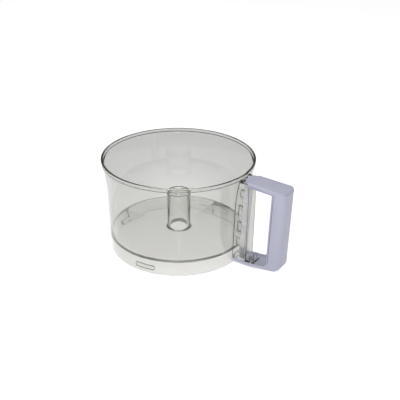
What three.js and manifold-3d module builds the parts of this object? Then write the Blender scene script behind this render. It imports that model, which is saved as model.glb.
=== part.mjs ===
// Work bowl of a food processor: a clear moulded bowl with a hollow drive tube in its middle,
// a bayonet skirt under its floor, and a handle on one side. A clear channel between the bowl
// and the finger gap holds the spring-loaded interlock rod that the locked lid pushes down.
//
// Millimetres, +Z up. The bowl stands on z = 0 and its handle points along +X. The origin is
// the middle of the footprint, and everything inside `bowlFrame` is drawn from the bowl's axis.

import * as THREE from "three";
import { mergeVertices } from "three/addons/utils/BufferGeometryUtils.js";
import Module from "manifold-3d";

const wasm = await Module();
wasm.setup();

// ---- Driving dimensions ----

// Bowl
const RIM_RADIUS = 100;
const HEIGHT = 124.4;
const RIM_BAND = 4.6; // height of the thick band at the rim
const RIM_WIDTH = 2.8; // thickness of the band
const WALL = 2.5;
const BASE_RADIUS = 92.6; // outside, at the bottom of the skirt
const DRAFT = 0.02; // outward lean of the wall, mm per mm
const FLARE_START = 75; // above this the wall opens out towards the rim
const FLARE = 4.2; // how far it has opened out at the band
const FLOOR_TOP = 21.7;
const FLOOR = 2.7; // thickness
const CORNER = 2.4; // fillet between floor and wall
const EDGE = 0.5; // small edge break
const BOWL_SIDES = 72;

// Drive tube
const TUBE_RADIUS = 15.5;
const TUBE_BORE = 13;
const TUBE_TOP = 73;
const TUBE_FILLET = 3;

// Bayonet lugs inside the skirt
const LUGS = 4;
const LUG_FIRST_DEG = 7.2;
const LUG_SPAN_DEG = 17;
const LUG_INNER = 87.4;
const LUG_LOW = 4.2;
const LUG_HEIGHT = 5.6;

// Interlock channel, moulded in one piece with the bowl
const CHANNEL_OUT = 111.4; // outer face, from the bowl's axis
const CHANNEL_HALF = 11; // half of its width
const CHANNEL_WALL = 2.2;
const CHANNEL_LOW = 7.6;
const CHANNEL_TOP = HEIGHT - 3;
const CHANNEL_ROOF = 116; // underside of its top plate
const STEP_AT = 104.2; // outside this the top is lower, to go under the handle
const STEP_TOP = 118.3;
const TONGUE_END = 122.8; // clear tongue that the handle is screwed to
const TONGUE_HALF = 9.6;
const TONGUE = 3;
const BOSS = 3.4; // height of the screw bosses on the tongue

// Handle
const HANDLE_HALF = 15;
const SIDE_WALL = 2.1;
const BACK_WALL = 2.6;
const LINER = 2.5; // thickness of the liner that closes the grip
const LINER_START = 112.6; // its inner end, clear of the channel
const SEAM = 0.3; // gap between pieces that touch
const ARM_START = STEP_AT + SEAM; // the top arm's inner end, on the channel's step
const TAB_HALF = 10.4; // the arm is this narrow where it lies on the step
const GRIP_OUT = 161.9;
const SCREW_X = 117.5;
const SCREW_Y = 5.6;
const SCREW_SEAT = 5.9; // height that the screw heads press against

// Rod
const ROD_WIDTH = 6.4;
const ROD_DEPTH = 5.6;
const ROD_LOW = 24;
const ROD_HIGH = 110.4;
const ROD_LOW_X = 102; // centre of the rod's foot, and the axis of its pin
const ROD_HIGH_X = 105.4;
const CAP_TOP = CHANNEL_ROOF - 0.4;
const STEM_TOP = 117.5; // the cap's stem, in the lid's slot
const SLOT = [101.2, 104]; // inner and outer end of the slot
const PIN_RADIUS = 2.2;
const PIN_LOW = 3.3;
const PIN_HIGH = 31;
const SPRING_WIRE = 0.9;
const SPRING_RADIUS = 3.5; // to the middle of the wire
const SPRING_TURNS = 7;
const BUSH_LOW = 4.3;
const BUSH_FLANGE_LOW = 6.9;
const BUSH_FLANGE_TOP = 8.2;
const WASHER = 0.7;

// Thickened stretch of the skirt
const PAD_FROM_DEG = 90;
const PAD_TO_DEG = 183;
const PAD = 1.4; // how far it stands in from the skirt

const FOOTPRINT_MIDDLE = (GRIP_OUT - RIM_RADIUS) / 2;

// ---- Solids ----

const drill = 0.01; // tools run this far past a face that they cut

function toSolid(geometry) {
  const loose = geometry.index ? geometry.toNonIndexed() : geometry.clone();
  loose.deleteAttribute("normal");
  loose.deleteAttribute("uv");
  const merged = mergeVertices(loose, 1e-4);
  return new wasm.Manifold(
    new wasm.Mesh({
      numProp: 3,
      vertProperties: merged.attributes.position.array,
      triVerts: merged.index.array,
    }),
  );
}

function toGeometry(solid) {
  const mesh = solid.getMesh();
  const geometry = new THREE.BufferGeometry();
  geometry.setAttribute("position", new THREE.BufferAttribute(mesh.vertProperties, 3));
  geometry.setIndex(new THREE.BufferAttribute(mesh.triVerts, 1));
  return geometry;
}

// A ring or a turned part about the Z axis, from [radius, height] points.
function turned(points, sides) {
  const profile = points.map(([radius, height]) => new THREE.Vector2(radius, height));
  return new THREE.LatheGeometry(profile, sides).rotateX(Math.PI / 2);
}

function cylinder(radius, low, high, sides = 20) {
  return turned([[0, low], [radius, low], [radius, high], [0, high]], sides);
}

function box(x0, x1, y0, y1, z0, z1) {
  return new THREE.BoxGeometry(x1 - x0, y1 - y0, z1 - z0).translate(
    (x0 + x1) / 2,
    (y0 + y1) / 2,
    (z0 + z1) / 2,
  );
}

// A shape drawn in plan, pulled up from z = low to z = high.
function upright(shape, low, high, curveSegments = 6) {
  return new THREE.ExtrudeGeometry(shape, {
    depth: high - low,
    bevelEnabled: false,
    curveSegments,
  }).translate(0, 0, low);
}

// A shape drawn from the side, x across and z up, as thick as `depth` about y = 0.
function sideways(shape, depth) {
  return new THREE.ExtrudeGeometry(shape, { depth, bevelEnabled: false })
    .rotateX(Math.PI / 2)
    .translate(0, depth / 2, 0);
}

function polygon(points) {
  return new THREE.Shape(points.map(([x, y]) => new THREE.Vector2(x, y)));
}

// Points of a quarter fillet about (cx, cy), from angle a0 to a1 in degrees.
function arc(cx, cy, radius, a0, a1, steps = 3) {
  return Array.from({ length: steps + 1 }, (_, i) => {
    const a = THREE.MathUtils.degToRad(a0 + ((a1 - a0) * i) / steps);
    return [cx + radius * Math.cos(a), cy + radius * Math.sin(a)];
  });
}

function wallRadius(z) {
  const open = Math.max(0, z - FLARE_START) / (HEIGHT - RIM_BAND - FLARE_START);
  return BASE_RADIUS + DRAFT * z + FLARE * open * open;
}

// ---- Bowl ----

function bowlOfRevolution() {
  const bandLow = HEIGHT - RIM_BAND;
  const heights = [bandLow - 0.6, 110, 101, 92, 83, FLARE_START, 48];
  const inside = RIM_RADIUS - RIM_WIDTH;
  const floorWall = wallRadius(FLOOR_TOP + CORNER) - WALL;
  const under = FLOOR_TOP - FLOOR;
  const tubeEdge = 0.6;
  return toSolid(
    turned(
      [
        [BASE_RADIUS - EDGE, 0],
        [BASE_RADIUS, EDGE],
        [wallRadius(under), under],
        ...heights.toReversed().map((z) => [wallRadius(z), z]),
        [RIM_RADIUS - EDGE, bandLow],
        ...arc(RIM_RADIUS - 1, HEIGHT - 1, 1, 0, 90),
        ...arc(inside + 0.7, HEIGHT - 0.7, 0.7, 90, 180, 2),
        [inside, bandLow + 0.2],
        ...heights.map((z) => [wallRadius(z) - WALL, z]),
        ...arc(floorWall - CORNER, FLOOR_TOP + CORNER, CORNER, 0, -90),
        ...arc(TUBE_RADIUS + TUBE_FILLET, FLOOR_TOP + TUBE_FILLET, TUBE_FILLET, -90, -180),
        ...arc(TUBE_RADIUS - tubeEdge, TUBE_TOP - tubeEdge, tubeEdge, 0, 90, 2),
        [TUBE_BORE + tubeEdge, TUBE_TOP],
        [TUBE_BORE, TUBE_TOP - tubeEdge],
        [TUBE_BORE, under],
        [wallRadius(under) - WALL - CORNER, under],
        [wallRadius(under) - WALL, under - CORNER],
        [BASE_RADIUS - WALL, EDGE],
        [BASE_RADIUS - WALL + EDGE, 0],
        [BASE_RADIUS - EDGE, 0],
      ],
      BOWL_SIDES,
    ),
  );
}

// A stretch of ring inside the skirt, from its wall to `inner`.
function skirtSector(fromDeg, toDeg, inner, low, high, steps) {
  const [from, to] = [fromDeg, toDeg].map(THREE.MathUtils.degToRad);
  const shape = new THREE.Shape();
  shape.absarc(0, 0, BASE_RADIUS - WALL / 2, from, to, false);
  shape.absarc(0, 0, inner, to, from, true);
  return toSolid(upright(shape, low, high, steps));
}

function lug(index) {
  const middle = LUG_FIRST_DEG + (360 / LUGS) * index;
  const [from, to] = [middle - LUG_SPAN_DEG / 2, middle + LUG_SPAN_DEG / 2];
  return skirtSector(from, to, LUG_INNER, LUG_LOW, LUG_LOW + LUG_HEIGHT, 6);
}

function skirtPad() {
  const inner = BASE_RADIUS - WALL - PAD;
  return skirtSector(PAD_FROM_DEG, PAD_TO_DEG, inner, EDGE, FLOOR_TOP - FLOOR / 2, 18);
}

// Centre of the slanted rod at a height.
function rodCentre(z) {
  return ROD_LOW_X + ((ROD_HIGH_X - ROD_LOW_X) * (z - ROD_LOW)) / (ROD_HIGH - ROD_LOW);
}

// Ribs on the bowl's wall, inside the channel, that the rod slides along.
const GUIDE_RIBS = [[24.5, 35], [43.5, 58], [67, 81], [93, 103.2]];

function guideRib([low, high]) {
  const clear = 0.5;
  const face = (z) => rodCentre(z) - ROD_WIDTH / 2 - clear;
  const root = wallRadius(high) - WALL / 2;
  return toSolid(
    sideways(polygon([[root, low], [face(low), low], [face(high), high], [root, high]]), 3.2),
  );
}

function channelPlan(out, half, corner) {
  const shape = new THREE.Shape();
  const start = BASE_RADIUS - 10;
  shape.moveTo(start, -half);
  shape.lineTo(out - corner, -half);
  shape.absarc(out - corner, corner - half, corner, -Math.PI / 2, 0, false);
  shape.absarc(out - corner, half - corner, corner, 0, Math.PI / 2, false);
  shape.lineTo(start, half);
  return shape;
}

function channel() {
  const hollow = upright(
    channelPlan(CHANNEL_OUT - CHANNEL_WALL, CHANNEL_HALF - CHANNEL_WALL, 1.2),
    CHANNEL_LOW - 1,
    CHANNEL_ROOF,
    3,
  );
  // The bowl's own body, up to the middle of its wall, so that the channel joins the wall.
  const levels = [0, FLARE_START, 92, 108, CHANNEL_TOP + 2];
  const insideWall = turned(
    [[0, levels[0]], ...levels.map((z) => [wallRadius(z) - WALL / 2, z]), [0, levels.at(-1)]],
    BOWL_SIDES,
  );
  const step = box(STEP_AT, CHANNEL_OUT + 1, -20, 20, STEP_TOP, CHANNEL_TOP + 1);
  const lidSlot = box(...SLOT, -3.6, 3.6, CHANNEL_ROOF - 1, CHANNEL_TOP + 1);
  return toSolid(upright(channelPlan(CHANNEL_OUT, CHANNEL_HALF, 3), CHANNEL_LOW, CHANNEL_TOP, 4))
    .subtract(toSolid(hollow))
    .subtract(toSolid(insideWall))
    .subtract(toSolid(step))
    .subtract(toSolid(lidSlot));
}

function tongue() {
  const corner = 3;
  const plate = new THREE.Shape();
  plate.moveTo(CHANNEL_OUT - CHANNEL_WALL / 2, -TONGUE_HALF);
  plate.lineTo(TONGUE_END - corner, -TONGUE_HALF);
  plate.absarc(TONGUE_END - corner, corner - TONGUE_HALF, corner, -Math.PI / 2, 0, false);
  plate.absarc(TONGUE_END - corner, TONGUE_HALF - corner, corner, 0, Math.PI / 2, false);
  plate.lineTo(CHANNEL_OUT - CHANNEL_WALL / 2, TONGUE_HALF);
  const bossTop = CHANNEL_LOW + TONGUE + BOSS;
  let made = toSolid(upright(plate, CHANNEL_LOW, CHANNEL_LOW + TONGUE, 3));
  for (const y of [-SCREW_Y, SCREW_Y]) {
    const boss = cylinder(3.3, CHANNEL_LOW + 1, bossTop).translate(SCREW_X, y, 0);
    const hole = cylinder(1.75, CHANNEL_LOW - 1, bossTop - 0.8, 12).translate(SCREW_X, y, 0);
    made = made.add(toSolid(boss)).subtract(toSolid(hole));
  }
  return made;
}

function bowl() {
  let made = bowlOfRevolution();
  for (let i = 0; i < LUGS; i++) made = made.add(lug(i));
  made = made.add(skirtPad()).add(channel()).add(tongue());
  for (const rib of GUIDE_RIBS) made = made.add(guideRib(rib));
  return made;
}

// ---- Handle ----

// Corners of a rail from the top arm's inner end, round the grip, to the bottom arm's inner end:
// [x, z, radius of the bend].
const OUTER_RAIL = [
  [ARM_START, 121.7, 0],
  [GRIP_OUT, 119, 5],
  [160.4, 11.8, 7],
  [121, 4.2, 30],
  [93.6, 3.6, 0],
];
const INNER_RAIL = [
  [ARM_START, 115.6, 0],
  [144.2, 114, 1.6],
  [142.4, 14.4, 5],
  [121, 11, 30],
  [93.6, 9.8, 0],
];

// The rail's points, with each bend as an arc of `steps` steps. Every rail gives as many points.
function railPoints(corners, steps) {
  const at = corners.map(([x, z]) => new THREE.Vector2(x, z));
  const points = [at[0]];
  for (let i = 1; i < corners.length - 1; i++) {
    const before = at[i - 1].clone().sub(at[i]).normalize();
    const after = at[i + 1].clone().sub(at[i]).normalize();
    const half = Math.acos(before.dot(after)) / 2;
    const radius = corners[i][2];
    const reach = radius / Math.tan(half);
    const centre = before.clone().add(after).normalize();
    centre.multiplyScalar(radius / Math.sin(half)).add(at[i]);
    const start = at[i].clone().addScaledVector(before, reach).sub(centre);
    const end = at[i].clone().addScaledVector(after, reach).sub(centre);
    const turn = Math.atan2(start.cross(end), start.dot(end));
    for (let k = 0; k <= steps; k++) {
      const a = (turn * k) / steps;
      points.push(start.clone().rotateAround(new THREE.Vector2(), a).add(centre));
    }
  }
  points.push(at.at(-1));
  return points;
}

const BEND_STEPS = 5;
const outerRail = railPoints(OUTER_RAIL, BEND_STEPS);
const innerRail = railPoints(INNER_RAIL, BEND_STEPS);
const GRIP_FROM = 1 + BEND_STEPS; // last point of the top bend
const GRIP_TO = GRIP_FROM + 1; // first point of the bottom bend

// A solid that joins one closed section per station. A section's points are [across, depth],
// counter-clockwise, and depth runs from the outer rail's point to the inner rail's.
function loft(stations) {
  const ring = stations[0].section.length;
  const last = (stations.length - 1) * ring;
  const positions = stations.flatMap(({ section, outer, inner }) => {
    const inward = inner.clone().sub(outer).normalize();
    return section.flatMap(([y, depth]) => [
      outer.x + inward.x * depth,
      y,
      outer.y + inward.y * depth,
    ]);
  });
  const index = [];
  for (let start = 0; start < last; start += ring)
    for (let k = 0; k < ring; k++) {
      const a = start + k;
      const b = start + ((k + 1) % ring);
      index.push(a, a + ring, b, b, a + ring, b + ring);
    }
  const fill = ({ section }) => {
    const outline = section.map(([y, depth]) => new THREE.Vector2(y, depth));
    return THREE.ShapeUtils.triangulateShape(outline, []);
  };
  for (const [a, b, c] of fill(stations[0])) index.push(a, b, c);
  for (const [a, b, c] of fill(stations.at(-1))) index.push(a + last, c + last, b + last);
  const geometry = new THREE.BufferGeometry();
  geometry.setAttribute("position", new THREE.Float32BufferAttribute(positions, 3));
  geometry.setIndex(index);
  return toSolid(geometry);
}

// A trough, open towards the finger gap, with its back edges rounded by `round`.
function troughSection(depth, round) {
  const [half, lip] = [HANDLE_HALF, depth];
  const inner = Math.max(round - SIDE_WALL, 0.8);
  const outside = [
    [-half, lip],
    ...arc(round - half, round, round, 180, 270, 4),
    ...arc(half - round, round, round, 270, 360, 4),
    [half, lip],
  ];
  const hollow = half - SIDE_WALL;
  const inside = [
    [hollow, lip],
    ...arc(hollow - inner, BACK_WALL + inner, inner, 0, -90, 3),
    ...arc(inner - hollow, BACK_WALL + inner, inner, -90, -180, 3),
    [-hollow, lip],
  ];
  return [...outside, ...inside];
}

// The rails' points at x on the top arm, between its inner end and the grip's bend.
function armAt(x) {
  const onRail = (rail) => rail[0].clone().lerp(rail[1], (x - rail[0].x) / (rail[1].x - rail[0].x));
  return [onRail(outerRail), onRail(innerRail)];
}

// The trough reaches the inner rail, or stops short of the liner where the liner closes it.
function shellStations() {
  const stations = [];
  const station = (outer, inner, lined, round) => {
    const depth = inner.distanceTo(outer) - (lined ? LINER + SEAM : 0);
    stations.push({ section: troughSection(depth, round), outer, inner });
  };
  const [armRound, gripRound, footRound] = [2.4, 9, 5];
  const linerEnd = LINER_START - SEAM;
  station(outerRail[0], innerRail[0], false, armRound);
  station(...armAt(linerEnd), false, armRound);
  station(...armAt(linerEnd + drill), true, armRound);
  for (let i = 1; i <= GRIP_FROM; i++) {
    const share = (i - 1) / BEND_STEPS;
    station(outerRail[i], innerRail[i], true, THREE.MathUtils.lerp(armRound, gripRound, share));
  }
  const below = new THREE.Vector2(0, -drill);
  const [foot, footInner] = [outerRail[GRIP_TO], innerRail[GRIP_TO]];
  station(foot, footInner, true, gripRound);
  station(foot.clone().add(below), footInner.clone().add(below), false, gripRound);
  for (let i = GRIP_TO + 1; i < outerRail.length; i++) {
    const share = Math.min(1, (i - GRIP_TO) / BEND_STEPS);
    station(outerRail[i], innerRail[i], false, THREE.MathUtils.lerp(gripRound, footRound, share));
  }
  return stations;
}

// What is cut away from the top arm's end, beside the tab that lies on the channel's step.
function besideTab() {
  const end = CHANNEL_OUT + SEAM;
  const corner = 5;
  const tab = new THREE.Shape();
  tab.moveTo(end + 1, TAB_HALF);
  tab.absarc(ARM_START + corner, TAB_HALF - corner, corner, Math.PI / 2, Math.PI, false);
  tab.absarc(ARM_START + corner, corner - TAB_HALF, corner, Math.PI, 1.5 * Math.PI, false);
  tab.lineTo(end + 1, -TAB_HALF);
  const around = box(ARM_START - 1, end, -HANDLE_HALF - 1, HANDLE_HALF + 1, 100, HEIGHT);
  return toSolid(around).subtract(toSolid(upright(tab, 90, HEIGHT + 10, 4)));
}

function handleShell() {
  let made = loft(shellStations()).subtract(besideTab());
  for (const y of [-SCREW_Y, SCREW_Y]) {
    const seat = cylinder(4.6, SCREW_SEAT - 1.4, CHANNEL_LOW - SEAM).translate(SCREW_X, y, 0);
    const head = cylinder(3.3, 0, SCREW_SEAT).translate(SCREW_X, y, 0);
    const hole = cylinder(1.8, 0, CHANNEL_LOW, 12).translate(SCREW_X, y, 0);
    made = made.add(toSolid(seat)).subtract(toSolid(head)).subtract(toSolid(hole));
  }
  const bushHole = cylinder(5, 0, BUSH_FLANGE_TOP, 24).translate(ROD_LOW_X, 0, 0);
  return made.subtract(toSolid(bushHole));
}

// The strip that closes the trough under the top arm and down the grip.
function gripLiner() {
  const round = 1.6;
  const station = (outer, inner) => {
    const face = inner.distanceTo(outer);
    const section = [
      [-HANDLE_HALF, face - LINER],
      [HANDLE_HALF, face - LINER],
      ...arc(HANDLE_HALF - round, face - round, round, 0, 90),
      ...arc(round - HANDLE_HALF, face - round, round, 90, 180),
    ];
    return { section, outer, inner };
  };
  const stations = [station(...armAt(LINER_START))];
  for (let i = 1; i <= GRIP_FROM; i++) stations.push(station(outerRail[i], innerRail[i]));
  const above = new THREE.Vector2(0, SEAM);
  const end = (rail) => rail[GRIP_TO].clone().add(above);
  stations.push(station(end(outerRail), end(innerRail)));
  return loft(stations);
}

function handleScrew(y) {
  const neck = SCREW_SEAT - SEAM;
  const low = neck - 1.4;
  const tip = CHANNEL_LOW + TONGUE + BOSS - 1.6;
  const [head, shank, slot] = [2.9, 1.45, 0.5];
  const profile = [
    [0, low],
    [head - 0.5, low],
    [head, low + 0.4],
    [head, neck],
    [shank, neck],
    [shank, tip],
    [0, tip + 0.3],
  ];
  const reach = 2;
  return toSolid(turned(profile, 16))
    .subtract(toSolid(box(-reach, reach, -slot / 2, slot / 2, low - 1, low + 0.6)))
    .subtract(toSolid(box(-slot / 2, slot / 2, -reach, reach, low - 1, low + 0.6)))
    .translate([SCREW_X, y, 0]);
}

// ---- Interlock rod ----

function pushRod() {
  const half = ROD_WIDTH / 2;
  const outline = polygon([
    [rodCentre(ROD_LOW) - half, ROD_LOW],
    [rodCentre(ROD_LOW) + half, ROD_LOW],
    [rodCentre(ROD_HIGH) + half, ROD_HIGH],
    [ROD_HIGH_X + 1.9, ROD_HIGH],
    [ROD_HIGH_X + 1.9, ROD_HIGH + 3.6],
    [ROD_HIGH_X - 1.9, ROD_HIGH + 3.6],
    [ROD_HIGH_X - 1.9, ROD_HIGH],
    [rodCentre(ROD_HIGH) - half, ROD_HIGH],
  ]);
  let made = toSolid(sideways(outline, ROD_DEPTH));
  const tenon = 1.8;
  for (const y of [-1, 1]) {
    const side = [y * tenon, y * ROD_DEPTH].toSorted((a, b) => a - b);
    made = made.subtract(toSolid(box(100, 110, ...side, ROD_HIGH, ROD_HIGH + 5)));
  }
  // Pockets in both sides leave a web and make an H section.
  const [web, edge] = [1.3, 1.2];
  for (const [low, high] of [[41, 55], [58, 72], [75, 88], [91, 105]]) {
    const pocket = polygon([
      [rodCentre(low) - half + edge, low],
      [rodCentre(low) + half - edge, low],
      [rodCentre(high) + half - edge, high],
      [rodCentre(high) - half + edge, high],
    ]);
    const cut = ROD_DEPTH / 2 - web + 1;
    for (const y of [-1, 1])
      made = made.subtract(toSolid(sideways(pocket, cut).translate(0, y * (web + cut / 2), 0)));
  }
  const socket = cylinder(PIN_RADIUS + 0.1, ROD_LOW - 1, PIN_HIGH + 0.3, 16);
  return made.subtract(toSolid(socket.translate(ROD_LOW_X, 0, 0)));
}

function rodCap() {
  const low = ROD_HIGH + SEAM;
  const crown = new THREE.Shape();
  const [left, right, round] = [ROD_HIGH_X - 4.4, ROD_HIGH_X + 3.2, 1.6];
  crown.moveTo(left, low);
  crown.lineTo(right, low);
  crown.lineTo(right, CAP_TOP - round);
  crown.absarc(right - round, CAP_TOP - round, round, 0, Math.PI / 2, false);
  crown.absarc(left + round, CAP_TOP - round, round, Math.PI / 2, Math.PI, false);
  const socket = box(ROD_HIGH_X - 2.2, ROD_HIGH_X + 2.2, -2.1, 2.1, low - 1, low + 3.8);
  const clear = 0.4;
  const stem = box(SLOT[0] + clear, SLOT[1] - clear, -3.2, 3.2, CAP_TOP - 1, STEM_TOP);
  return toSolid(sideways(crown, 10)).subtract(toSolid(socket)).add(toSolid(stem));
}

function rodPin() {
  const end = 0.8;
  return turned(
    [
      [0, PIN_LOW],
      [PIN_RADIUS - end, PIN_LOW],
      [PIN_RADIUS, PIN_LOW + end],
      [PIN_RADIUS, PIN_HIGH],
      [0, PIN_HIGH],
    ],
    16,
  );
}

function springWasher() {
  const high = ROD_LOW - SEAM;
  const low = high - WASHER;
  const [bore, out] = [PIN_RADIUS + 0.2, SPRING_RADIUS + SPRING_WIRE];
  return turned([[bore, low], [out, low], [out, high], [bore, high], [bore, low]], 24);
}

class Coil extends THREE.Curve {
  constructor(low, high) {
    super();
    this.low = low;
    this.high = high;
  }
  getPoint(t, target = new THREE.Vector3()) {
    const turns = t * SPRING_TURNS;
    const endRise = SPRING_WIRE * 1.2; // rise of each closed end turn
    const rise = (this.high - this.low - 2 * endRise) / (SPRING_TURNS - 2);
    const climbed =
      Math.min(turns, 1) * endRise +
      THREE.MathUtils.clamp(turns - 1, 0, SPRING_TURNS - 2) * rise +
      Math.max(0, turns - SPRING_TURNS + 1) * endRise;
    const a = turns * 2 * Math.PI;
    return target.set(SPRING_RADIUS * Math.cos(a), SPRING_RADIUS * Math.sin(a), this.low + climbed);
  }
}

function returnSpring() {
  const wire = SPRING_WIRE / 2;
  const section = new THREE.Shape().absarc(0, 0, wire, 0, 2 * Math.PI, false);
  const top = ROD_LOW - SEAM - WASHER;
  return new THREE.ExtrudeGeometry(section, {
    extrudePath: new Coil(BUSH_FLANGE_TOP + SEAM + wire, top - SEAM - wire),
    steps: SPRING_TURNS * 12,
    curveSegments: 3,
    bevelEnabled: false,
  });
}

function guideBush() {
  const bore = PIN_RADIUS + 0.3;
  const [barrel, flange] = [4.6, 6.2];
  return turned(
    [
      [bore, BUSH_LOW],
      [barrel, BUSH_LOW],
      [barrel, BUSH_FLANGE_LOW],
      [flange, BUSH_FLANGE_LOW],
      [flange, BUSH_FLANGE_TOP - EDGE],
      [flange - EDGE, BUSH_FLANGE_TOP],
      [bore, BUSH_FLANGE_TOP],
      [bore, BUSH_LOW],
    ],
    24,
  );
}

// ---- Materials ----

function plastic(color, roughness, extra = {}) {
  return new THREE.MeshStandardMaterial({ color, roughness, metalness: 0, ...extra });
}

function steel(color, roughness) {
  return new THREE.MeshStandardMaterial({ color, roughness, metalness: 1 });
}

const clear = plastic(0xdcdfda, 0.05, { transparent: true, opacity: 0.3 });
const lavender = plastic(0xb9bad2, 0.35);
const acetal = plastic(0xc3c2d4, 0.45);
const nylon = plastic(0xd9d9dc, 0.5);
const stainless = steel(0xb8bac0, 0.3);

// ---- Assembly ----

const model = new THREE.Group();
const bowlFrame = new THREE.Group();
bowlFrame.position.x = -FOOTPRINT_MIDDLE;
model.add(bowlFrame);

function add(name, shape, material, x = 0) {
  const geometry = shape.isBufferGeometry ? shape : toGeometry(shape);
  const mesh = new THREE.Mesh(geometry, material);
  mesh.name = name;
  mesh.position.x = x;
  bowlFrame.add(mesh);
}

add("bowl", bowl(), clear);
add("handle_shell", handleShell(), lavender);
add("grip_liner", gripLiner(), lavender);
add("handle_screw_front", handleScrew(-SCREW_Y), stainless);
add("handle_screw_rear", handleScrew(SCREW_Y), stainless);
add("push_rod", pushRod(), acetal);
add("rod_cap", rodCap(), acetal);
add("rod_pin", rodPin(), stainless, ROD_LOW_X);
add("spring_washer", springWasher(), stainless, ROD_LOW_X);
add("return_spring", returnSpring(), stainless, ROD_LOW_X);
add("guide_bush", guideBush(), nylon, ROD_LOW_X);

export default model;
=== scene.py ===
"""The looks of a food processor's work bowl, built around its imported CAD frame.

Shapes are drawn in millimetres from the bowl's axis, with the handle along +X and the bowl
standing on z = 0. `piece` turns each one into metres and puts it in the frame's own place.
"""

from math import acos, atan2, cos, pi, radians, sin, tan

import bmesh
import bpy
from mathutils import Matrix, Vector
from mathutils.geometry import tessellate_polygon

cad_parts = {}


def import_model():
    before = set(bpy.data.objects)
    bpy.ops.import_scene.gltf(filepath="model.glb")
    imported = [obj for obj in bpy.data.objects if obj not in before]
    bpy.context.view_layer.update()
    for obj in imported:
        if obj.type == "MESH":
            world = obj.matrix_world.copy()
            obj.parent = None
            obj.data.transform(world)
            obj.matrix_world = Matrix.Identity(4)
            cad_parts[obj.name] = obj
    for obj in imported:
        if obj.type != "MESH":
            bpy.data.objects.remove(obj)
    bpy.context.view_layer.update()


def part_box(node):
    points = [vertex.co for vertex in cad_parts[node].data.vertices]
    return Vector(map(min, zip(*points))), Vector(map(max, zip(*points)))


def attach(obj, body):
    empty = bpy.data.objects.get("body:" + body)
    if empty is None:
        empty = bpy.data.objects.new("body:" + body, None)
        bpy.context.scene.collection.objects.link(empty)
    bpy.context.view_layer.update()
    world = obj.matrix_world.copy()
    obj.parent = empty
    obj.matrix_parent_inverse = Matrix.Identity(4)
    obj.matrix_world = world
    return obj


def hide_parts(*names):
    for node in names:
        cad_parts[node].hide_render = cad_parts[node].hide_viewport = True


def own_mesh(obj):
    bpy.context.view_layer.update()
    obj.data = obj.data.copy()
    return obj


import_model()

MM = 0.001
BOWL_BODY = "bowl_body"
ROD_BODY = "rod_body"

# ---- Sizes ----

bowl_low, bowl_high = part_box("bowl")
AXIS_X = bowl_low.x + (bowl_high.y - bowl_low.y) / 2  # metres, in the frame

# Bowl
RIM_RADIUS = (bowl_high.y - bowl_low.y) / 2 / MM
HEIGHT = bowl_high.z / MM
RIM_BAND = 4.6  # height of the thick band at the rim
RIM_WIDTH = 2.8
WALL = 2.5
BASE_RADIUS = 92.6
DRAFT = 0.02  # outward lean of the wall, mm per mm
FLARE_START = 75  # above this the wall opens out towards the rim
FLARE = 4.2  # how far it has opened out at the band
FLOOR_TOP = 21.7
FLOOR = 2.7
CORNER = 1.6  # fillet between wall and floor, inside the bowl
CORNER_BELOW = 0.6  # and under the floor
EDGE = 0.5
BOWL_SIDES = 192

TUBE_RADIUS = 15.5
TUBE_BORE = 13
TUBE_TOP = 73
TUBE_FILLET = 3

LUGS = 4
LUG_FIRST = 7.2  # degrees from the handle
LUG_SPAN = 17  # degrees
LUG_INNER = 87.4
LUG_LOW = 4.2
LUG_HEIGHT = 5.6
PAD_FROM = 90  # the skirt's thick stretch, in degrees
PAD_TO = 183
PAD = 1.4  # how far it stands in from the skirt

# Interlock channel
CHANNEL_OUT = 111.4
CHANNEL_HALF = 11
CHANNEL_WALL = 2.2
CHANNEL_LOW = 7.6
CHANNEL_TOP = HEIGHT - 3
CHANNEL_ROOF = 116  # underside of its top plate
STEP_AT = 104.2  # outside this the top is lower, to go under the handle
STEP_TOP = 118.3
TONGUE_END = 122.8
TONGUE_HALF = 9.6
TONGUE = 3
BOSS = 3.4
BOSS_RADIUS = 3.3
BOSS_BORE = 1.75

# Handle
_, handle_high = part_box("handle_shell")
HANDLE_HALF = handle_high.y / MM
SIDE_WALL = 2.1
BACK_WALL = 2.6
LINER = 2.5
LINER_START = 112.6
SEAM = 0.3  # gap between pieces that touch
ARM_START = STEP_AT + SEAM
TAB_HALF = 10.4  # half of the top arm's width where it lies on the channel's step
GRIP_OUT = 161.9
SCREW_X = 117.5
SCREW_Y = 5.6
SCREW_SEAT = 5.9  # height that the screw heads press against
HEAD = 1.4  # height of a screw head, and of the seat that it presses against
HEAD_RADIUS = 2.9

# Rod
rod_low, rod_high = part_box("push_rod")
pin_low, pin_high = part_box("rod_pin")
_, cap_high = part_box("rod_cap")
ROD_WIDTH = 6.4
ROD_DEPTH = (rod_high.y - rod_low.y) / MM
ROD_LOW = rod_low.z / MM
ROD_HIGH = 110.4
ROD_LOW_X = 102  # the rod leans: its centre at its foot and at its head
ROD_HIGH_X = 105.4
CAP_TOP = CHANNEL_ROOF - 0.4
STEM_TOP = cap_high.z / MM
TENON_HALF = 1.9  # half of the length along X of the tenon that the cap sits on
TENON_SIDE = 1.8  # half of its width
TENON_TOP = ROD_HIGH + 3.6
GUIDE_RIBS = ((24.5, 35), (43.5, 58), (67, 81), (93, 103.2))  # low and high end of each
ROD_POCKETS = ((41, 55), (58, 72), (75, 88), (91, 105))  # low and high end of each
SLOT = (101.2, 104)  # inner and outer end of the slot for the lid's key
SLOT_HALF = 3.6
PIN_RADIUS = 2.2
PIN_LOW = pin_low.z / MM
PIN_HIGH = pin_high.z / MM
SPRING_WIRE = 0.9
SPRING_RADIUS = 3.5
SPRING_TURNS = 7
BUSH_LOW = 4.3
BUSH_FLANGE_LOW = 6.9
BUSH_FLANGE_TOP = 8.2
WASHER = 0.7

# ---- Mesh tools ----


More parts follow.
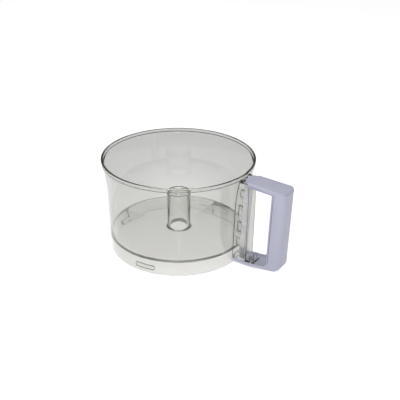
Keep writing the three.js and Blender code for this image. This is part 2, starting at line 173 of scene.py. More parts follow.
def mesh_object(name, points, faces):
    """A new object from points in millimetres and faces that point outwards or inwards."""
    mesh = bpy.data.meshes.new(name)
    mesh.from_pydata([tuple(p) for p in points], [], faces)
    obj = bpy.data.objects.new(name, mesh)
    bpy.context.scene.collection.objects.link(obj)
    tidy_normals(obj)
    return obj


def tidy_normals(obj):
    """Merges doubled points and turns every face outwards."""
    bm = bmesh.new()
    bm.from_mesh(obj.data)
    bmesh.ops.remove_doubles(bm, verts=bm.verts, dist=1e-4)
    bmesh.ops.dissolve_degenerate(bm, edges=bm.edges, dist=1e-5)
    bmesh.ops.recalc_face_normals(bm, faces=bm.faces)
    bm.to_mesh(obj.data)
    bm.free()


def apply_modifiers(obj):
    """Makes what the object's modifiers do a part of its mesh."""
    graph = bpy.context.evaluated_depsgraph_get()
    old = obj.data
    obj.data = bpy.data.meshes.new_from_object(obj.evaluated_get(graph))
    obj.modifiers.clear()
    bpy.data.meshes.remove(old)


def boolean(target, tool, operation):
    """Joins the tool to the target or cuts it out, and removes the tool."""
    modifier = target.modifiers.new("boolean", "BOOLEAN")
    modifier.object = tool
    modifier.operation = operation
    modifier.solver = "MANIFOLD"
    apply_modifiers(target)
    bpy.data.objects.remove(tool)
    return target


def join(target, *tools):
    for tool in tools:
        boolean(target, tool, "UNION")
    return target


def cut(target, *tools):
    for tool in tools:
        boolean(target, tool, "DIFFERENCE")
    return target


def bevelled(obj, width, segments=2, angle=35):
    """Rounds every edge that turns by more than the angle, in degrees."""
    modifier = obj.modifiers.new("bevel", "BEVEL")
    modifier.width = width
    modifier.segments = segments
    modifier.limit_method = "ANGLE"
    modifier.angle_limit = radians(angle)
    apply_modifiers(obj)
    return obj


def moved(obj, x=0, y=0, z=0):
    obj.data.transform(Matrix.Translation((x, y, z)))
    return obj


def turned(name, profile, sides):
    """A body of revolution about Z from [radius, height] points that run round its section."""
    rings = []
    points = []
    for radius, height in profile:
        if radius < 1e-6:
            rings.append([len(points)] * sides)
            points.append((0, 0, height))
            continue
        rings.append([len(points) + i for i in range(sides)])
        turn = 2 * pi / sides
        points += [(radius * cos(i * turn), radius * sin(i * turn), height) for i in range(sides)]
    faces = []
    for near, far in zip(rings, rings[1:] + rings[:1]):
        for i in range(sides):
            j = (i + 1) % sides
            corners = dict.fromkeys((near[i], near[j], far[j], far[i]))
            if len(corners) > 2:
                faces.append(tuple(corners))
    return mesh_object(name, points, faces)


def cylinder(radius, low, high, sides=48):
    return turned("tool", [(0, low), (radius, low), (radius, high), (0, high)], sides)


def pulled(name, outline, offset):
    """A prism from a flat outline of 3-D points, pulled along an offset."""
    count = len(outline)
    points = [Vector(p) for p in outline]
    points += [p + Vector(offset) for p in points]
    faces = [tuple(range(count)), tuple(range(count, 2 * count))]
    faces += [(i, (i + 1) % count, (i + 1) % count + count, i + count) for i in range(count)]
    return mesh_object(name, points, faces)


def upright(name, outline, low, high):
    """A prism from an outline in plan, between two heights."""
    return pulled(name, [(x, y, low) for x, y in outline], (0, 0, high - low))


def sideways(name, outline, depth):
    """A prism from an outline seen from the side, as thick as depth about y = 0."""
    return pulled(name, [(x, -depth / 2, z) for x, z in outline], (0, depth, 0))


def block(x0, x1, y0, y1, z0, z1):
    return upright("tool", [(x0, y0), (x1, y0), (x1, y1), (x0, y1)], z0, z1)


def arc(cx, cy, radius, start, end, steps=6):
    """Points on an arc, with angles in degrees."""
    angles = [radians(start + (end - start) * i / steps) for i in range(steps + 1)]
    return [(cx + radius * cos(a), cy + radius * sin(a)) for a in angles]


def rounded_bar(x0, x1, half, corner):
    """The plan of a bar that is square at x0 and has round corners at x1."""
    return [
        (x0, -half),
        *arc(x1 - corner, corner - half, corner, -90, 0),
        *arc(x1 - corner, half - corner, corner, 0, 90),
        (x0, half),
    ]


def loft(name, stations):
    """A solid from one closed section per station, each a list of 3-D points."""
    ring = len(stations[0])
    points = [p for station in stations for p in station]
    faces = []
    for start in range(0, ring * (len(stations) - 1), ring):
        for k in range(ring):
            a, b = start + k, start + (k + 1) % ring
            faces.append((a, b, b + ring, a + ring))
    last = ring * (len(stations) - 1)
    for base, station in ((0, stations[0]), (last, stations[-1])):
        faces += [tuple(base + i for i in tri) for tri in tessellate_polygon([station])]
    return mesh_object(name, points, faces)


SMOOTH_BELOW = 32  # degrees between two faces that are shaded as one


def piece(obj, body, material, replaced):
    """Puts a finished shape in the frame, in metres, on its body and with its material."""
    obj.name = obj.data.name = replaced + "_skin"
    obj.data.transform(Matrix.Translation((AXIS_X, 0, 0)) @ Matrix.Scale(MM, 4))
    obj.data.shade_smooth()
    obj.data.set_sharp_from_angle(angle=radians(SMOOTH_BELOW))
    obj.data.materials.clear()
    obj.data.materials.append(material)
    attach(obj, body)
    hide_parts(replaced)
    return obj


# ---- Bowl ----


def wall_radius(z):
    opening = max(0, z - FLARE_START) / (HEIGHT - RIM_BAND - FLARE_START)
    return BASE_RADIUS + DRAFT * z + FLARE * opening**2


def bowl_of_revolution():
    band_low = HEIGHT - RIM_BAND
    flare_steps = 18
    flare = [band_low - 0.6 - (band_low - FLARE_START) * i / flare_steps for i in range(flare_steps)]
    heights = [*flare, FLARE_START, 62, 48, 35]  # of the wall's rings, from the band down
    inside = RIM_RADIUS - RIM_WIDTH
    under = FLOOR_TOP - FLOOR
    corner_wall = wall_radius(FLOOR_TOP + CORNER) - WALL
    under_wall = wall_radius(under) - WALL
    brim = 0.6  # edge radius under the band
    lip = 0.35  # edge radius of the flat tops of the rim and the tube
    profile = [
        *arc(BASE_RADIUS - EDGE, EDGE, EDGE, -90, 0, 4),
        (wall_radius(under), under),
        *[(wall_radius(z), z) for z in reversed(heights)],
        *arc(RIM_RADIUS - brim, band_low + brim, brim, -80, 0, 4),
        *arc(RIM_RADIUS - lip, HEIGHT - lip, lip, 0, 90, 5),
        *arc(inside + lip, HEIGHT - lip, lip, 90, 180, 5),
        (inside, band_low + 0.2),
        *[(wall_radius(z) - WALL, z) for z in heights],
        *arc(corner_wall - CORNER, FLOOR_TOP + CORNER, CORNER, 0, -90, 8),
        *arc(TUBE_RADIUS + TUBE_FILLET, FLOOR_TOP + TUBE_FILLET, TUBE_FILLET, -90, -180, 8),
        *arc(TUBE_RADIUS - lip, TUBE_TOP - lip, lip, 0, 90, 5),
        *arc(TUBE_BORE + lip, TUBE_TOP - lip, lip, 90, 180, 5),
        (TUBE_BORE, under),
        *arc(under_wall - CORNER_BELOW, under - CORNER_BELOW, CORNER_BELOW, 90, 0, 4),
        *arc(BASE_RADIUS - WALL + EDGE, EDGE, EDGE, -180, -90, 4),
    ]
    return turned("bowl", profile, BOWL_SIDES)


def skirt_sector(start, end, inner, low, high, edge):
    """A stretch of ring inside the skirt, from the middle of its wall to an inner radius."""
    degrees_per_step = 2.5
    steps = max(8, round((end - start) / degrees_per_step))
    outline = arc(0, 0, BASE_RADIUS - WALL / 2, start, end, steps)
    outline += arc(0, 0, inner, end, start, steps)
    return bevelled(upright("tool", outline, low, high), edge, angle=60)


def lug(index):
    middle = LUG_FIRST + 360 / LUGS * index
    ends = (middle - LUG_SPAN / 2, middle + LUG_SPAN / 2)
    return skirt_sector(*ends, LUG_INNER, LUG_LOW, LUG_LOW + LUG_HEIGHT, 0.5)


def skirt_pad():
    inner = BASE_RADIUS - WALL - PAD
    return skirt_sector(PAD_FROM, PAD_TO, inner, EDGE, FLOOR_TOP - FLOOR / 2, 0.3)


def rod_centre(z):
    return ROD_LOW_X + (ROD_HIGH_X - ROD_LOW_X) * (z - ROD_LOW) / (ROD_HIGH - ROD_LOW)


def guide_rib(low, high):
    """A rib on the bowl's wall that the rod slides along."""
    clear, thickness = 0.5, 3.2
    face_low, face_high = (rod_centre(z) - ROD_WIDTH / 2 - clear for z in (low, high))
    root = wall_radius(high) - WALL / 2
    outline = [(root, low), (face_low, low), (face_high, high), (root, high)]
    return bevelled(sideways("tool", outline, thickness), 0.35)


def channel():
    """The upright box on the bowl's wall that the rod runs in."""
    start = BASE_RADIUS - 10  # inside the wall, which cuts it off
    plan = rounded_bar(start, CHANNEL_OUT, CHANNEL_HALF, 3)
    outer = bevelled(upright("tool", plan, CHANNEL_LOW, CHANNEL_TOP), EDGE, angle=60)
    hollow_plan = rounded_bar(start, CHANNEL_OUT - CHANNEL_WALL, CHANNEL_HALF - CHANNEL_WALL, 1.2)
    hollow = upright("tool", hollow_plan, CHANNEL_LOW - 1, CHANNEL_ROOF)
    steps = 16
    reach = CHANNEL_TOP + 2
    levels = [reach * i / steps for i in range(steps + 1)]
    middle_of_wall = [(wall_radius(z) - WALL / 2, z) for z in levels]
    inside_wall = turned("tool", [(0, 0), *middle_of_wall, (0, reach)], BOWL_SIDES)
    step = block(STEP_AT, CHANNEL_OUT + 1, -20, 20, STEP_TOP, CHANNEL_TOP + 1)
    slot = block(*SLOT, -SLOT_HALF, SLOT_HALF, CHANNEL_ROOF - 1, CHANNEL_TOP + 1)
    return cut(outer, hollow, inside_wall, step, bevelled(slot, 0.6))


def tongue():
    """The plate that the handle is screwed to, with its two bosses."""
    plan = rounded_bar(CHANNEL_OUT - CHANNEL_WALL / 2, TONGUE_END, TONGUE_HALF, 3)
    made = bevelled(upright("tool", plan, CHANNEL_LOW, CHANNEL_LOW + TONGUE), 0.4, angle=60)
    top = CHANNEL_LOW + TONGUE + BOSS
    for y in (-SCREW_Y, SCREW_Y):
        boss_profile = [
            (0, CHANNEL_LOW + 1),
            (BOSS_RADIUS, CHANNEL_LOW + 1),
            *arc(BOSS_RADIUS - EDGE, top - EDGE, EDGE, 0, 90, 4),
            (0, top),
        ]
        join(made, moved(turned("tool", boss_profile, 48), SCREW_X, y))
        cut(made, moved(cylinder(BOSS_BORE, CHANNEL_LOW - 1, top - 0.8, 32), SCREW_X, y))
    return made


def bowl():
    made = bowl_of_revolution()
    join(made, *[lug(i) for i in range(LUGS)], skirt_pad(), channel(), tongue())
    return join(made, *[guide_rib(*rib) for rib in GUIDE_RIBS])


# ---- Handle ----

# Corners of a rail from the top arm's inner end, round the grip, to the bottom arm's inner end:
# (x, z, radius of the bend).
OUTER_RAIL = (
    (ARM_START, 121.7, 0),
    (GRIP_OUT, 119, 5),
    (160.4, 11.8, 7),
    (121, 4.2, 30),
    (93.6, 3.6, 0),
)
INNER_RAIL = (
    (ARM_START, 115.6, 0),
    (144.2, 114, 1.6),
    (142.4, 14.4, 5),
    (121, 11, 30),
    (93.6, 9.8, 0),
)
BEND_STEPS = 14
GRIP_FROM = 1 + BEND_STEPS  # last point of the top bend
GRIP_TO = GRIP_FROM + 1  # first point of the bottom bend


def rail_points(corners):
    """The rail's points, with each bend as an arc. Every rail gives as many points."""
    at = [Vector((x, z)) for x, z, _ in corners]
    points = [at[0]]
    for i in range(1, len(corners) - 1):
        before = (at[i - 1] - at[i]).normalized()
        after = (at[i + 1] - at[i]).normalized()
        half = acos(before.dot(after)) / 2
        radius = corners[i][2]
        centre = at[i] + (before + after).normalized() * radius / sin(half)
        start = at[i] + before * radius / tan(half) - centre
        end = at[i] + after * radius / tan(half) - centre
        turn = atan2(start.cross(end), start.dot(end))
        for k in range(BEND_STEPS + 1):
            points.append(centre + Matrix.Rotation(turn * k / BEND_STEPS, 2) @ start)
    points.append(at[-1])
    return points


outer_rail = rail_points(OUTER_RAIL)
inner_rail = rail_points(INNER_RAIL)


def placed(section, outer, inner):
    """A section's [across, depth] points, with depth from the outer rail to the inner one."""
    inward = (inner - outer).normalized()
    return [(outer.x + inward.x * d, y, outer.y + inward.y * d) for y, d in section]


def trough_section(depth, rounding):
    """A trough that is open towards the finger gap, with round back edges and lips."""
    half = HANDLE_HALF
    hollow = half - SIDE_WALL
    lip = 0.6
    inner = max(rounding - SIDE_WALL, 0.8)
    steps = 8
    return [
        *arc(lip - half, depth - lip, lip, 90, 180, 4),
        *arc(rounding - half, rounding, rounding, 180, 270, steps),
        *arc(half - rounding, rounding, rounding, 270, 360, steps),
        *arc(half - lip, depth - lip, lip, 0, 90, 4),
        *arc(hollow + lip, depth - lip, lip, 90, 180, 4),
        *arc(hollow - inner, BACK_WALL + inner, inner, 0, -90, steps),
        *arc(inner - hollow, BACK_WALL + inner, inner, -90, -180, steps),
        *arc(-hollow - lip, depth - lip, lip, 0, 90, 4),
    ]


def arm_at(x):
    """The rails' points at x on the top arm."""

    def on_rail(rail):
        return rail[0].lerp(rail[1], (x - rail[0].x) / (rail[1].x - rail[0].x))

    return on_rail(outer_rail), on_rail(inner_rail)


def mixed(a, b, share):
    """The value a share of the way from a to b."""
    return a + (b - a) * share


def shell_stations():
    """The trough reaches the inner rail, or stops short of the liner where the liner closes it."""
    stations = []

    def station(outer, inner, lined, rounding):
        depth = (inner - outer).length - (LINER + SEAM if lined else 0)
        stations.append(placed(trough_section(depth, rounding), outer, inner))

    step = 0.01
    arm_round, grip_round, foot_round = 2.4, 9, 5
    liner_end = LINER_START - SEAM
    station(*arm_at(ARM_START), False, arm_round)
    station(*arm_at(liner_end), False, arm_round)
    station(*arm_at(liner_end + step), True, arm_round)
    for i in range(1, GRIP_TO):
        share = (i - 1) / BEND_STEPS
        station(outer_rail[i], inner_rail[i], True, mixed(arm_round, grip_round, share))
    station(outer_rail[GRIP_TO], inner_rail[GRIP_TO], True, grip_round)
    below = Vector((0, -step))
    station(outer_rail[GRIP_TO] + below, inner_rail[GRIP_TO] + below, False, grip_round)
    for i in range(GRIP_TO + 1, len(outer_rail)):
        share = min(1, (i - GRIP_TO) / BEND_STEPS)
        station(outer_rail[i], inner_rail[i], False, mixed(grip_round, foot_round, share))
    return stations


def beside_tab():
    """What is cut away from the top arm's end, beside the tab on the channel's step."""
    end = CHANNEL_OUT + SEAM
    corner = 5
    tab = [
        (end + 1, TAB_HALF),
        *arc(ARM_START + corner, TAB_HALF - corner, corner, 90, 180, 10),
        *arc(ARM_START + corner, corner - TAB_HALF, corner, 180, 270, 10),
        (end + 1, -TAB_HALF),
    ]
    around = block(ARM_START - 1, end, -HANDLE_HALF - 1, HANDLE_HALF + 1, 100, HEIGHT)
    return cut(around, upright("tool", tab, 90, HEIGHT + 10))


def handle_shell():
    made = cut(loft("handle", shell_stations()), beside_tab())
    seat_radius, head_hole, shank_hole, bush_hole = 4.6, 3.3, 1.8, 5
    for y in (-SCREW_Y, SCREW_Y):
        seat = cylinder(seat_radius, SCREW_SEAT - HEAD, CHANNEL_LOW - SEAM)
        head = cylinder(head_hole, 0, SCREW_SEAT)
        hole = cylinder(shank_hole, 0, CHANNEL_LOW)
        join(made, moved(seat, SCREW_X, y))
        cut(made, moved(head, SCREW_X, y), moved(hole, SCREW_X, y))
    return cut(made, moved(cylinder(bush_hole, 0, BUSH_FLANGE_TOP), ROD_LOW_X))


def grip_liner():
    """The strip that closes the trough under the top arm and down the grip."""
    rounding = 1.6

    def station(outer, inner):
        face = (inner - outer).length
        section = [
            (-HANDLE_HALF, face - LINER),
            (HANDLE_HALF, face - LINER),
            *arc(HANDLE_HALF - rounding, face - rounding, rounding, 0, 90, 8),
            *arc(rounding - HANDLE_HALF, face - rounding, rounding, 90, 180, 8),
        ]
        return placed(section, outer, inner)

    above = Vector((0, SEAM))
    stations = [station(*arm_at(LINER_START))]
    stations += [station(outer_rail[i], inner_rail[i]) for i in range(1, GRIP_TO)]
    stations.append(station(outer_rail[GRIP_TO] + above, inner_rail[GRIP_TO] + above))
    return loft("liner", stations)


def handle_screw(y):
    """A pan-head screw with a cross recess and a ringed thread."""
    neck = SCREW_SEAT - SEAM
    low = neck - HEAD
    tip = CHANNEL_LOW + TONGUE + BOSS - 1.6
    shank, root, pitch = 1.45, 1.15, 0.8
    profile = [
        (0, low),
        (HEAD_RADIUS - 0.7, low),
        (HEAD_RADIUS - 0.2, low + 0.25),
        (HEAD_RADIUS, low + 0.7),
        (HEAD_RADIUS, neck),
        (shank, neck),
        (shank, CHANNEL_LOW),
    ]
    turns = int((tip - CHANNEL_LOW) / pitch)
    for i in range(turns):
        profile.append((root, CHANNEL_LOW + pitch * (i + 0.5)))
        profile.append((shank, CHANNEL_LOW + pitch * (i + 1)))
    profile += [(root, tip), (0, tip + 0.3)]
    made = turned("screw", profile, 48)
    reach, slot, depth = 1.7, 0.3, 0.7
    cut(made, block(-reach, reach, -slot, slot, low - 1, low + depth))
    cut(made, block(-slot, slot, -reach, reach, low - 1, low + depth))
    return moved(made, SCREW_X, y)


# ---- Interlock rod ----


def push_rod():
    """A leaning bar with pockets in both sides, a tenon for the cap and a socket for the pin."""
    half = ROD_WIDTH / 2
    made = sideways(
        "rod",
        [
            (rod_centre(ROD_LOW) - half, ROD_LOW),
            (rod_centre(ROD_LOW) + half, ROD_LOW),
            (rod_centre(ROD_HIGH) + half, ROD_HIGH),
            (ROD_HIGH_X + TENON_HALF, ROD_HIGH),
            (ROD_HIGH_X + TENON_HALF, TENON_TOP),
            (ROD_HIGH_X - TENON_HALF, TENON_TOP),
            (ROD_HIGH_X - TENON_HALF, ROD_HIGH),
            (rod_centre(ROD_HIGH) - half, ROD_HIGH),
        ],
        ROD_DEPTH,
    )
    left, right = ROD_HIGH_X - ROD_WIDTH, ROD_HIGH_X + ROD_WIDTH
    for y0, y1 in ((-ROD_DEPTH, -TENON_SIDE), (TENON_SIDE, ROD_DEPTH)):
        cut(made, block(left, right, y0, y1, ROD_HIGH, TENON_TOP + 1))
    bevelled(made, 0.3)
    web, edge = 1.3, 1.2
    depth = ROD_DEPTH / 2 - web + 1
    for low, high in ROD_POCKETS:
        pocket = [
            (rod_centre(low) - half + edge, low),
            (rod_centre(low) + half - edge, low),
            (rod_centre(high) + half - edge, high),
            (rod_centre(high) - half + edge, high),
        ]
        for side in (-1, 1):
            tool = bevelled(sideways("tool", pocket, depth), 0.4)
            cut(made, moved(tool, y=side * (web + depth / 2)))
    socket = moved(cylinder(PIN_RADIUS + 0.1, ROD_LOW - 1, PIN_HIGH + 0.3), ROD_LOW_X)
    return cut(made, socket)


def rod_cap():
    """The rod's head, with the stem that stands in the lid's slot."""
    low = ROD_HIGH + SEAM
    left, right, rounding = ROD_HIGH_X - 4.4, ROD_HIGH_X + 3.2, 1.6
    crown = [
        (left, low),
        (right, low),
        *arc(right - rounding, CAP_TOP - rounding, rounding, 0, 90),
        *arc(left + rounding, CAP_TOP - rounding, rounding, 90, 180),
    ]
    made = bevelled(sideways("cap", crown, 10), 0.4, angle=60)
    clear = 0.4
    side = SLOT_HALF - clear
    stem = block(SLOT[0] + clear, SLOT[1] - clear, -side, side, CAP_TOP - 1, STEM_TOP)
    reach, wide = TENON_HALF + SEAM, TENON_SIDE + SEAM
    socket = block(ROD_HIGH_X - reach, ROD_HIGH_X + reach, -wide, wide, low - 1, TENON_TOP + 0.5)
    return cut(join(made, bevelled(stem, 0.4)), socket)


def rod_pin():
    """The pin that reaches the switch under the bowl."""
    end = 0.8
    profile = [
        (0, PIN_LOW),
        *arc(PIN_RADIUS - end, PIN_LOW + end, end, -90, 0),
        (PIN_RADIUS, PIN_HIGH - 0.3),
        (PIN_RADIUS - 0.3, PIN_HIGH),
        (0, PIN_HIGH),
    ]
    return moved(turned("pin", profile, 48), ROD_LOW_X)


def ring(name, bore, out, low, high, edge):
    """A flat ring with broken edges."""
    profile = [
        (bore + edge, low),
        (out - edge, low),
        (out, low + edge),
        (out, high - edge),
        (out - edge, high),
        (bore + edge, high),
        (bore, high - edge),
        (bore, low + edge),
    ]
    return moved(turned(name, profile, 64), ROD_LOW_X)


def spring_washer():
    high = ROD_LOW - SEAM
    return ring("washer", PIN_RADIUS + 0.2, SPRING_RADIUS + SPRING_WIRE, high - WASHER, high, 0.12)


def return_spring():
    """Round wire on a helix whose first and last turns are closed."""
    wire = SPRING_WIRE / 2
    low = BUSH_FLANGE_TOP + SEAM + wire
    high = ROD_LOW - SEAM - WASHER - SEAM - wire
    closed = SPRING_WIRE * 1.2  # rise of each closed end turn
    pitch = (high - low - 2 * closed) / (SPRING_TURNS - 2)
    steps_per_turn, sides = 40, 12
    rings = []
    for i in range(SPRING_TURNS * steps_per_turn + 1):
        turns = i / steps_per_turn
        climbed = min(turns, 1) * closed
        climbed += min(max(turns - 1, 0), SPRING_TURNS - 2) * pitch
        climbed += max(0, turns - SPRING_TURNS + 1) * closed
        a = 2 * pi * turns
        out = Vector((cos(a), sin(a), 0))
        centre = out * SPRING_RADIUS + Vector((0, 0, low + climbed))
        wire_angles = [2 * pi * k / sides for k in range(sides)]
        rings.append([centre + wire * (out * cos(b) + Vector((0, 0, sin(b)))) for b in wire_angles])
    return moved(loft("spring", rings), ROD_LOW_X)


def guide_bush():
    """The flanged bush in the bottom arm that guides the pin."""
    bore, barrel, flange = PIN_RADIUS + 0.3, 4.6, 6.2
    profile = [
        (bore + 0.2, BUSH_LOW),
        (barrel - 0.3, BUSH_LOW),
        (barrel, BUSH_LOW + 0.3),
        (barrel, BUSH_FLANGE_LOW),
        (flange, BUSH_FLANGE_LOW),
        *arc(flange - EDGE, BUSH_FLANGE_TOP - EDGE, EDGE, 0, 90, 4),
        (bore + 0.3, BUSH_FLANGE_TOP),
        (bore, BUSH_FLANGE_TOP - 0.3),
        (bore, BUSH_LOW + 0.2),
    ]
    return moved(turned("bush", profile, 64), ROD_LOW_X)


# ---- Materials ----


def new_material(name):
    material = bpy.data.materials.new(name)
    material.use_nodes = True
    tree = material.node_tree
    shader = tree.nodes["Principled BSDF"]
    return material, tree, shader


def add_node(tree, kind, **settings):
    """A new node, with its properties and its sockets' values set by name."""
    node = tree.nodes.new(kind)
    for key, value in settings.items():
        if key in node.inputs:
            node.inputs[key].default_value = value
        else:
            setattr(node, key, value)
    return node


def noise(tree, scale, detail=4, stretch=(1, 1, 1)):
    """A noise pattern fixed to the object, with its scale in waves per metre."""
    place = add_node(tree, "ShaderNodeTexCoord")
    mapping = add_node(tree, "ShaderNodeMapping", Scale=stretch)
    pattern = add_node(tree, "ShaderNodeTexNoise", Scale=scale, Detail=detail)
    tree.links.new(place.outputs["Object"], mapping.inputs["Vector"])
    tree.links.new(mapping.outputs["Vector"], pattern.inputs["Vector"])
    return pattern.outputs["Fac"]


def spread(tree, value, low, high, start=0.3, end=0.7):
    """Turns a pattern into values between low and high."""
    node = add_node(tree, "ShaderNodeMapRange")
    for name, number in (("From Min", start), ("From Max", end), ("To Min", low), ("To Max", high)):
        node.inputs[name].default_value = number
    tree.links.new(value, node.inputs["Value"])
    return node.outputs["Result"]


def shades(tree, value, first, second):
    """Turns a pattern into shades from the first to the second, each a colour or an output."""
    node = add_node(tree, "ShaderNodeMix", data_type="RGBA")
    ends = [s for s in node.inputs if s.type == "RGBA"]
    for socket, shade in zip(ends, (first, second)):
        if isinstance(shade, tuple):
            socket.default_value = (*shade, 1)
        else:
            tree.links.new(shade, socket)
    tree.links.new(value, node.inputs["Factor"])
    return next(s for s in node.outputs if s.type == "RGBA")


def bump(tree, shader, height, strength, distance):
    node = add_node(tree, "ShaderNodeBump", Strength=strength, Distance=distance)
    tree.links.new(height, node.inputs["Height"])
    tree.links.new(node.outputs["Normal"], shader.inputs["Normal"])


# The clear plastic, with its own tint, the tint of what lamps shine through it, and what its
# thick places take out of the light.
CLEAR_TINT = (0.99, 0.99, 0.985, 1)
LAMP_TINT = (0.93, 0.93, 0.92, 1)
DEPTH_TINT = (0.62, 0.63, 0.59, 1)
ABSORPTION = 60  # per metre
CLEAR_IOR = 1.57


def clear_plastic():
    """Clear moulded plastic with faint handling haze. Lamps shine through it."""
    material, tree, shader = new_material("clear_plastic")
    shader.inputs["Base Color"].default_value = CLEAR_TINT
    shader.inputs["Transmission Weight"].default_value = 1
    shader.inputs["IOR"].default_value = CLEAR_IOR
    haze = noise(tree, scale=35, detail=6)
    tree.links.new(spread(tree, haze, 0, 0.05), shader.inputs["Roughness"])
    bump(tree, shader, noise(tree, scale=60, detail=2), strength=0.03, distance=0.0004)
    lit_through = add_node(tree, "ShaderNodeBsdfTransparent", Color=LAMP_TINT)
    ray = add_node(tree, "ShaderNodeLightPath")
    choice = add_node(tree, "ShaderNodeMixShader")
    tree.links.new(ray.outputs["Is Shadow Ray"], choice.inputs["Fac"])
    tree.links.new(shader.outputs["BSDF"], choice.inputs[1])
    tree.links.new(lit_through.outputs["BSDF"], choice.inputs[2])
    body = add_node(tree, "ShaderNodeVolumeAbsorption", Color=DEPTH_TINT, Density=ABSORPTION)
    output = tree.nodes["Material Output"]
    tree.links.new(choice.outputs["Shader"], output.inputs["Surface"])
    tree.links.new(body.outputs["Volume"], output.inputs["Volume"])
    return material


def moulded_plastic(name, dark, light, roughness, grain, grain_depth):
    """Opaque moulded plastic: a fine grain, slow shade changes and slightly uneven gloss."""
    material, tree, shader = new_material(name)
    tone = shades(tree, spread(tree, noise(tree, scale=45, detail=5), 0, 1), dark, light)
    tree.links.new(tone, shader.inputs["Base Color"])
    handling = noise(tree, scale=160, detail=3)
    gloss = spread(tree, handling, roughness - 0.05, roughness + 0.07)
    tree.links.new(gloss, shader.inputs["Roughness"])
    shader.inputs["IOR"].default_value = 1.5
    bump(tree, shader, noise(tree, scale=grain, detail=2), strength=0.25, distance=grain_depth)
    return material


def turned_steel(name, roughness):
    """Steel with fine drawing lines along its length."""
    material, tree, shader = new_material(name)
    shader.inputs["Metallic"].default_value = 1
    lines = noise(tree, scale=900, detail=2, stretch=(1, 1, 0.08))
    tone = shades(tree, lines, (0.50, 0.51, 0.53), (0.68, 0.69, 0.71))
    tree.links.new(tone, shader.inputs["Base Color"])
    tree.links.new(spread(tree, lines, roughness, roughness + 0.15), shader.inputs["Roughness"])
    bump(tree, shader, lines, strength=0.15, distance=0.00002)
    return material


# ---- The object ----


# For each moulded plastic: dark and light shade, roughness, grain in waves per metre, and the
# grain's depth in metres.
MOULDED = {
    "handle_plastic": ((0.385, 0.39, 0.49), (0.415, 0.42, 0.52), 0.36, 2200, 0.00003),
    # The liner is the handle's plastic made a shade darker: painted shade for the shadow inside the
    # grip.
    "liner_plastic": ((0.34, 0.34, 0.46), (0.40, 0.40, 0.53), 0.5, 1600, 0.00005),
    "rod_plastic": ((0.54, 0.54, 0.575), (0.6, 0.6, 0.635), 0.42, 1500, 0.00004),
    "bush_plastic": ((0.62, 0.62, 0.64), (0.7, 0.7, 0.72), 0.5, 1800, 0.00004),
}


def build_object():
    clear = clear_plastic()
    handle, liner, acetal, nylon = (moulded_plastic(name, *look) for name, look in MOULDED.items())
    steel = turned_steel("stainless", 0.25)

    piece(bowl(), BOWL_BODY, clear, "bowl")
    piece(handle_shell(), BOWL_BODY, handle, "handle_shell")
    piece(grip_liner(), BOWL_BODY, liner, "grip_liner")
    piece(handle_screw(-SCREW_Y), BOWL_BODY, steel, "handle_screw_front")
    piece(handle_screw(SCREW_Y), BOWL_BODY, steel, "handle_screw_rear")
    piece(guide_bush(), BOWL_BODY, nylon, "guide_bush")
    piece(push_rod(), ROD_BODY, acetal, "push_rod")
    piece(rod_cap(), ROD_BODY, acetal, "rod_cap")
    piece(rod_pin(), ROD_BODY, steel, "rod_pin")
    piece(spring_washer(), ROD_BODY, steel, "spring_washer")
    spring = piece(return_spring(), BOWL_BODY, steel, "return_spring")

    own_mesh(spring)


# ---- Studio ----


FLOOR_HALF = 6  # metres
FLOOR_GLOW = 0.85
# The floor's glow as the clear plastic shows it, with painted shade: its tone beside the bowl,
# further away, and painted dark past that.
NEAR_TONE = (0.51, 0.5, 0.49)
FAR_TONE = (0.44, 0.436, 0.43)
PAINTED_DARK_TONE = (0.02, 0.02, 0.02)
# Where each tone gives way to the next, in metres from the bowl's axis: from and to.
NEAR_TO_FAR = (0.09, 0.3)
FAR_TO_PAINTED_DARK = (0.4, 0.6)
WORLD = 0.28  # its light on the object
WORLD_SEEN_THROUGH = 0.02
BOUNCES = 24  # light goes round inside the clear walls many times


def floor():
    """A pale floor that glows white. Through the clear plastic its glow is painted greyer away from
    the bowl, and painted dark far away.
    """
    half = FLOOR_HALF
    mesh = bpy.data.meshes.new("floor")
    corners = [(-half, -half, 0), (half, -half, 0), (half, half, 0), (-half, half, 0)]
    mesh.from_pydata(corners, [], [(0, 1, 2, 3)])
    obj = bpy.data.objects.new("floor", mesh)
    bpy.context.scene.collection.objects.link(obj)
    material, tree, shader = new_material("floor")
    shader.inputs["Base Color"].default_value = (0.3, 0.3, 0.3, 1)
    shader.inputs["Roughness"].default_value = 0.9
    shader.inputs["Specular IOR Level"].default_value = 0
    shader.inputs["Emission Strength"].default_value = FLOOR_GLOW
    place = add_node(tree, "ShaderNodeTexCoord")
    away = add_node(tree, "ShaderNodeVectorMath", operation="DISTANCE")
    away.inputs[1].default_value = (AXIS_X, 0, 0)
    tree.links.new(place.outputs["Object"], away.inputs[0])
    # Painted shade: the glow seen through the clear plastic falls off with distance from the bowl,
    # then is painted nearly black.
    behind = spread(tree, away.outputs["Value"], 0, 1, *NEAR_TO_FAR)
    painted_falloff = shades(tree, behind, NEAR_TONE, FAR_TONE)
    painted_dark_share = spread(tree, away.outputs["Value"], 0, 1, *FAR_TO_PAINTED_DARK)
    through = shades(tree, painted_dark_share, painted_falloff, PAINTED_DARK_TONE)
    ray = add_node(tree, "ShaderNodeLightPath")
    white = (1, 1, 1)
    seen = shades(tree, ray.outputs["Is Transmission Ray"], white, through)
    tree.links.new(seen, shader.inputs["Emission Color"])
    mesh.materials.append(material)


def softbox(name, place, aim, width, height, watts):
    """A flat lamp that faces a point. All lengths are in metres."""
    light = bpy.data.lights.new(name, "AREA")
    light.shape = "RECTANGLE"
    light.size = width
    light.size_y = height
    light.energy = watts
    obj = bpy.data.objects.new(name, light)
    obj.location = place
    obj.rotation_mode = "QUATERNION"
    obj.rotation_quaternion = (Vector(aim) - Vector(place)).to_track_quat("-Z", "Y")
    bpy.context.scene.collection.objects.link(obj)
    return obj


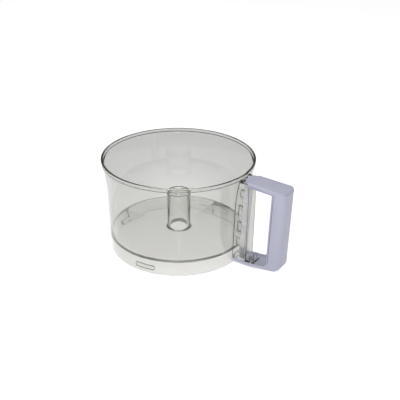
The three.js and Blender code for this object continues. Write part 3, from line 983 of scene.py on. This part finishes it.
def world(brightness, seen_through):
    """Even light from all round: white to the eye, and dim where the clear plastic shows it."""
    made = bpy.data.worlds.new("studio")
    made.use_nodes = True
    tree = made.node_tree
    ray = add_node(tree, "ShaderNodeLightPath")
    strength = add_node(tree, "ShaderNodeMapRange")
    strength.inputs["To Min"].default_value = brightness
    strength.inputs["To Max"].default_value = seen_through
    tree.links.new(ray.outputs["Is Transmission Ray"], strength.inputs["Value"])
    white = add_node(tree, "ShaderNodeMath", operation="MAXIMUM")
    tree.links.new(strength.outputs["Result"], white.inputs[0])
    tree.links.new(ray.outputs["Is Camera Ray"], white.inputs[1])
    background = tree.nodes["Background"]
    background.inputs["Color"].default_value = (1, 1, 1, 1)
    tree.links.new(white.outputs["Value"], background.inputs["Strength"])
    bpy.context.scene.world = made


CAMERA_AZIMUTH = 33.5
CAMERA_ELEVATION = 27.4
CAMERA_ROLL = 0.84
CAMERA_DISTANCE = 0.8714
AIM_RIGHT = 0.0284  # the aim's place from the foot of the bowl's axis, across the view
AIM_UP = 0.0532  # and up in the view
LENS = 56.6  # mm
SENSOR = 36  # mm, its width


def camera():
    """Adds the camera and returns where it stands."""
    azimuth, elevation, roll = map(radians, (CAMERA_AZIMUTH, CAMERA_ELEVATION, CAMERA_ROLL))
    right = Vector((cos(azimuth), sin(azimuth), 0))
    back = Vector((sin(azimuth) * cos(elevation), -cos(azimuth) * cos(elevation), sin(elevation)))
    up = back.cross(right)
    data = bpy.data.cameras.new("camera")
    data.lens = LENS
    data.sensor_width = SENSOR
    obj = bpy.data.objects.new("camera", data)
    turn = Matrix((right, up, back)).transposed() @ Matrix.Rotation(roll, 3, "Z")
    aim = Vector((AXIS_X, 0, 0)) + right * AIM_RIGHT + up * AIM_UP
    obj.matrix_world = Matrix.Translation(aim + back * CAMERA_DISTANCE) @ turn.to_4x4()
    bpy.context.scene.collection.objects.link(obj)
    bpy.context.scene.camera = obj
    return obj.matrix_world.translation


def studio():
    eye = camera()
    floor()
    world(WORLD, WORLD_SEEN_THROUGH)
    middle = (AXIS_X, 0, 0.05)
    overhead = softbox("overhead", (-0.4, 0.1, 1.9), middle, width=1.6, height=1.6, watts=21)
    overhead.visible_transmission = False
    above_lens = eye + Vector((0, 0, 0.12))
    softbox("flash", above_lens, middle, width=0.03, height=0.34, watts=3.4)
    scene = bpy.context.scene
    scene.cycles.max_bounces = BOUNCES
    scene.cycles.transmission_bounces = BOUNCES
    scene.cycles.glossy_bounces = BOUNCES
    scene.view_settings.view_transform = "Standard"


build_object()
studio()
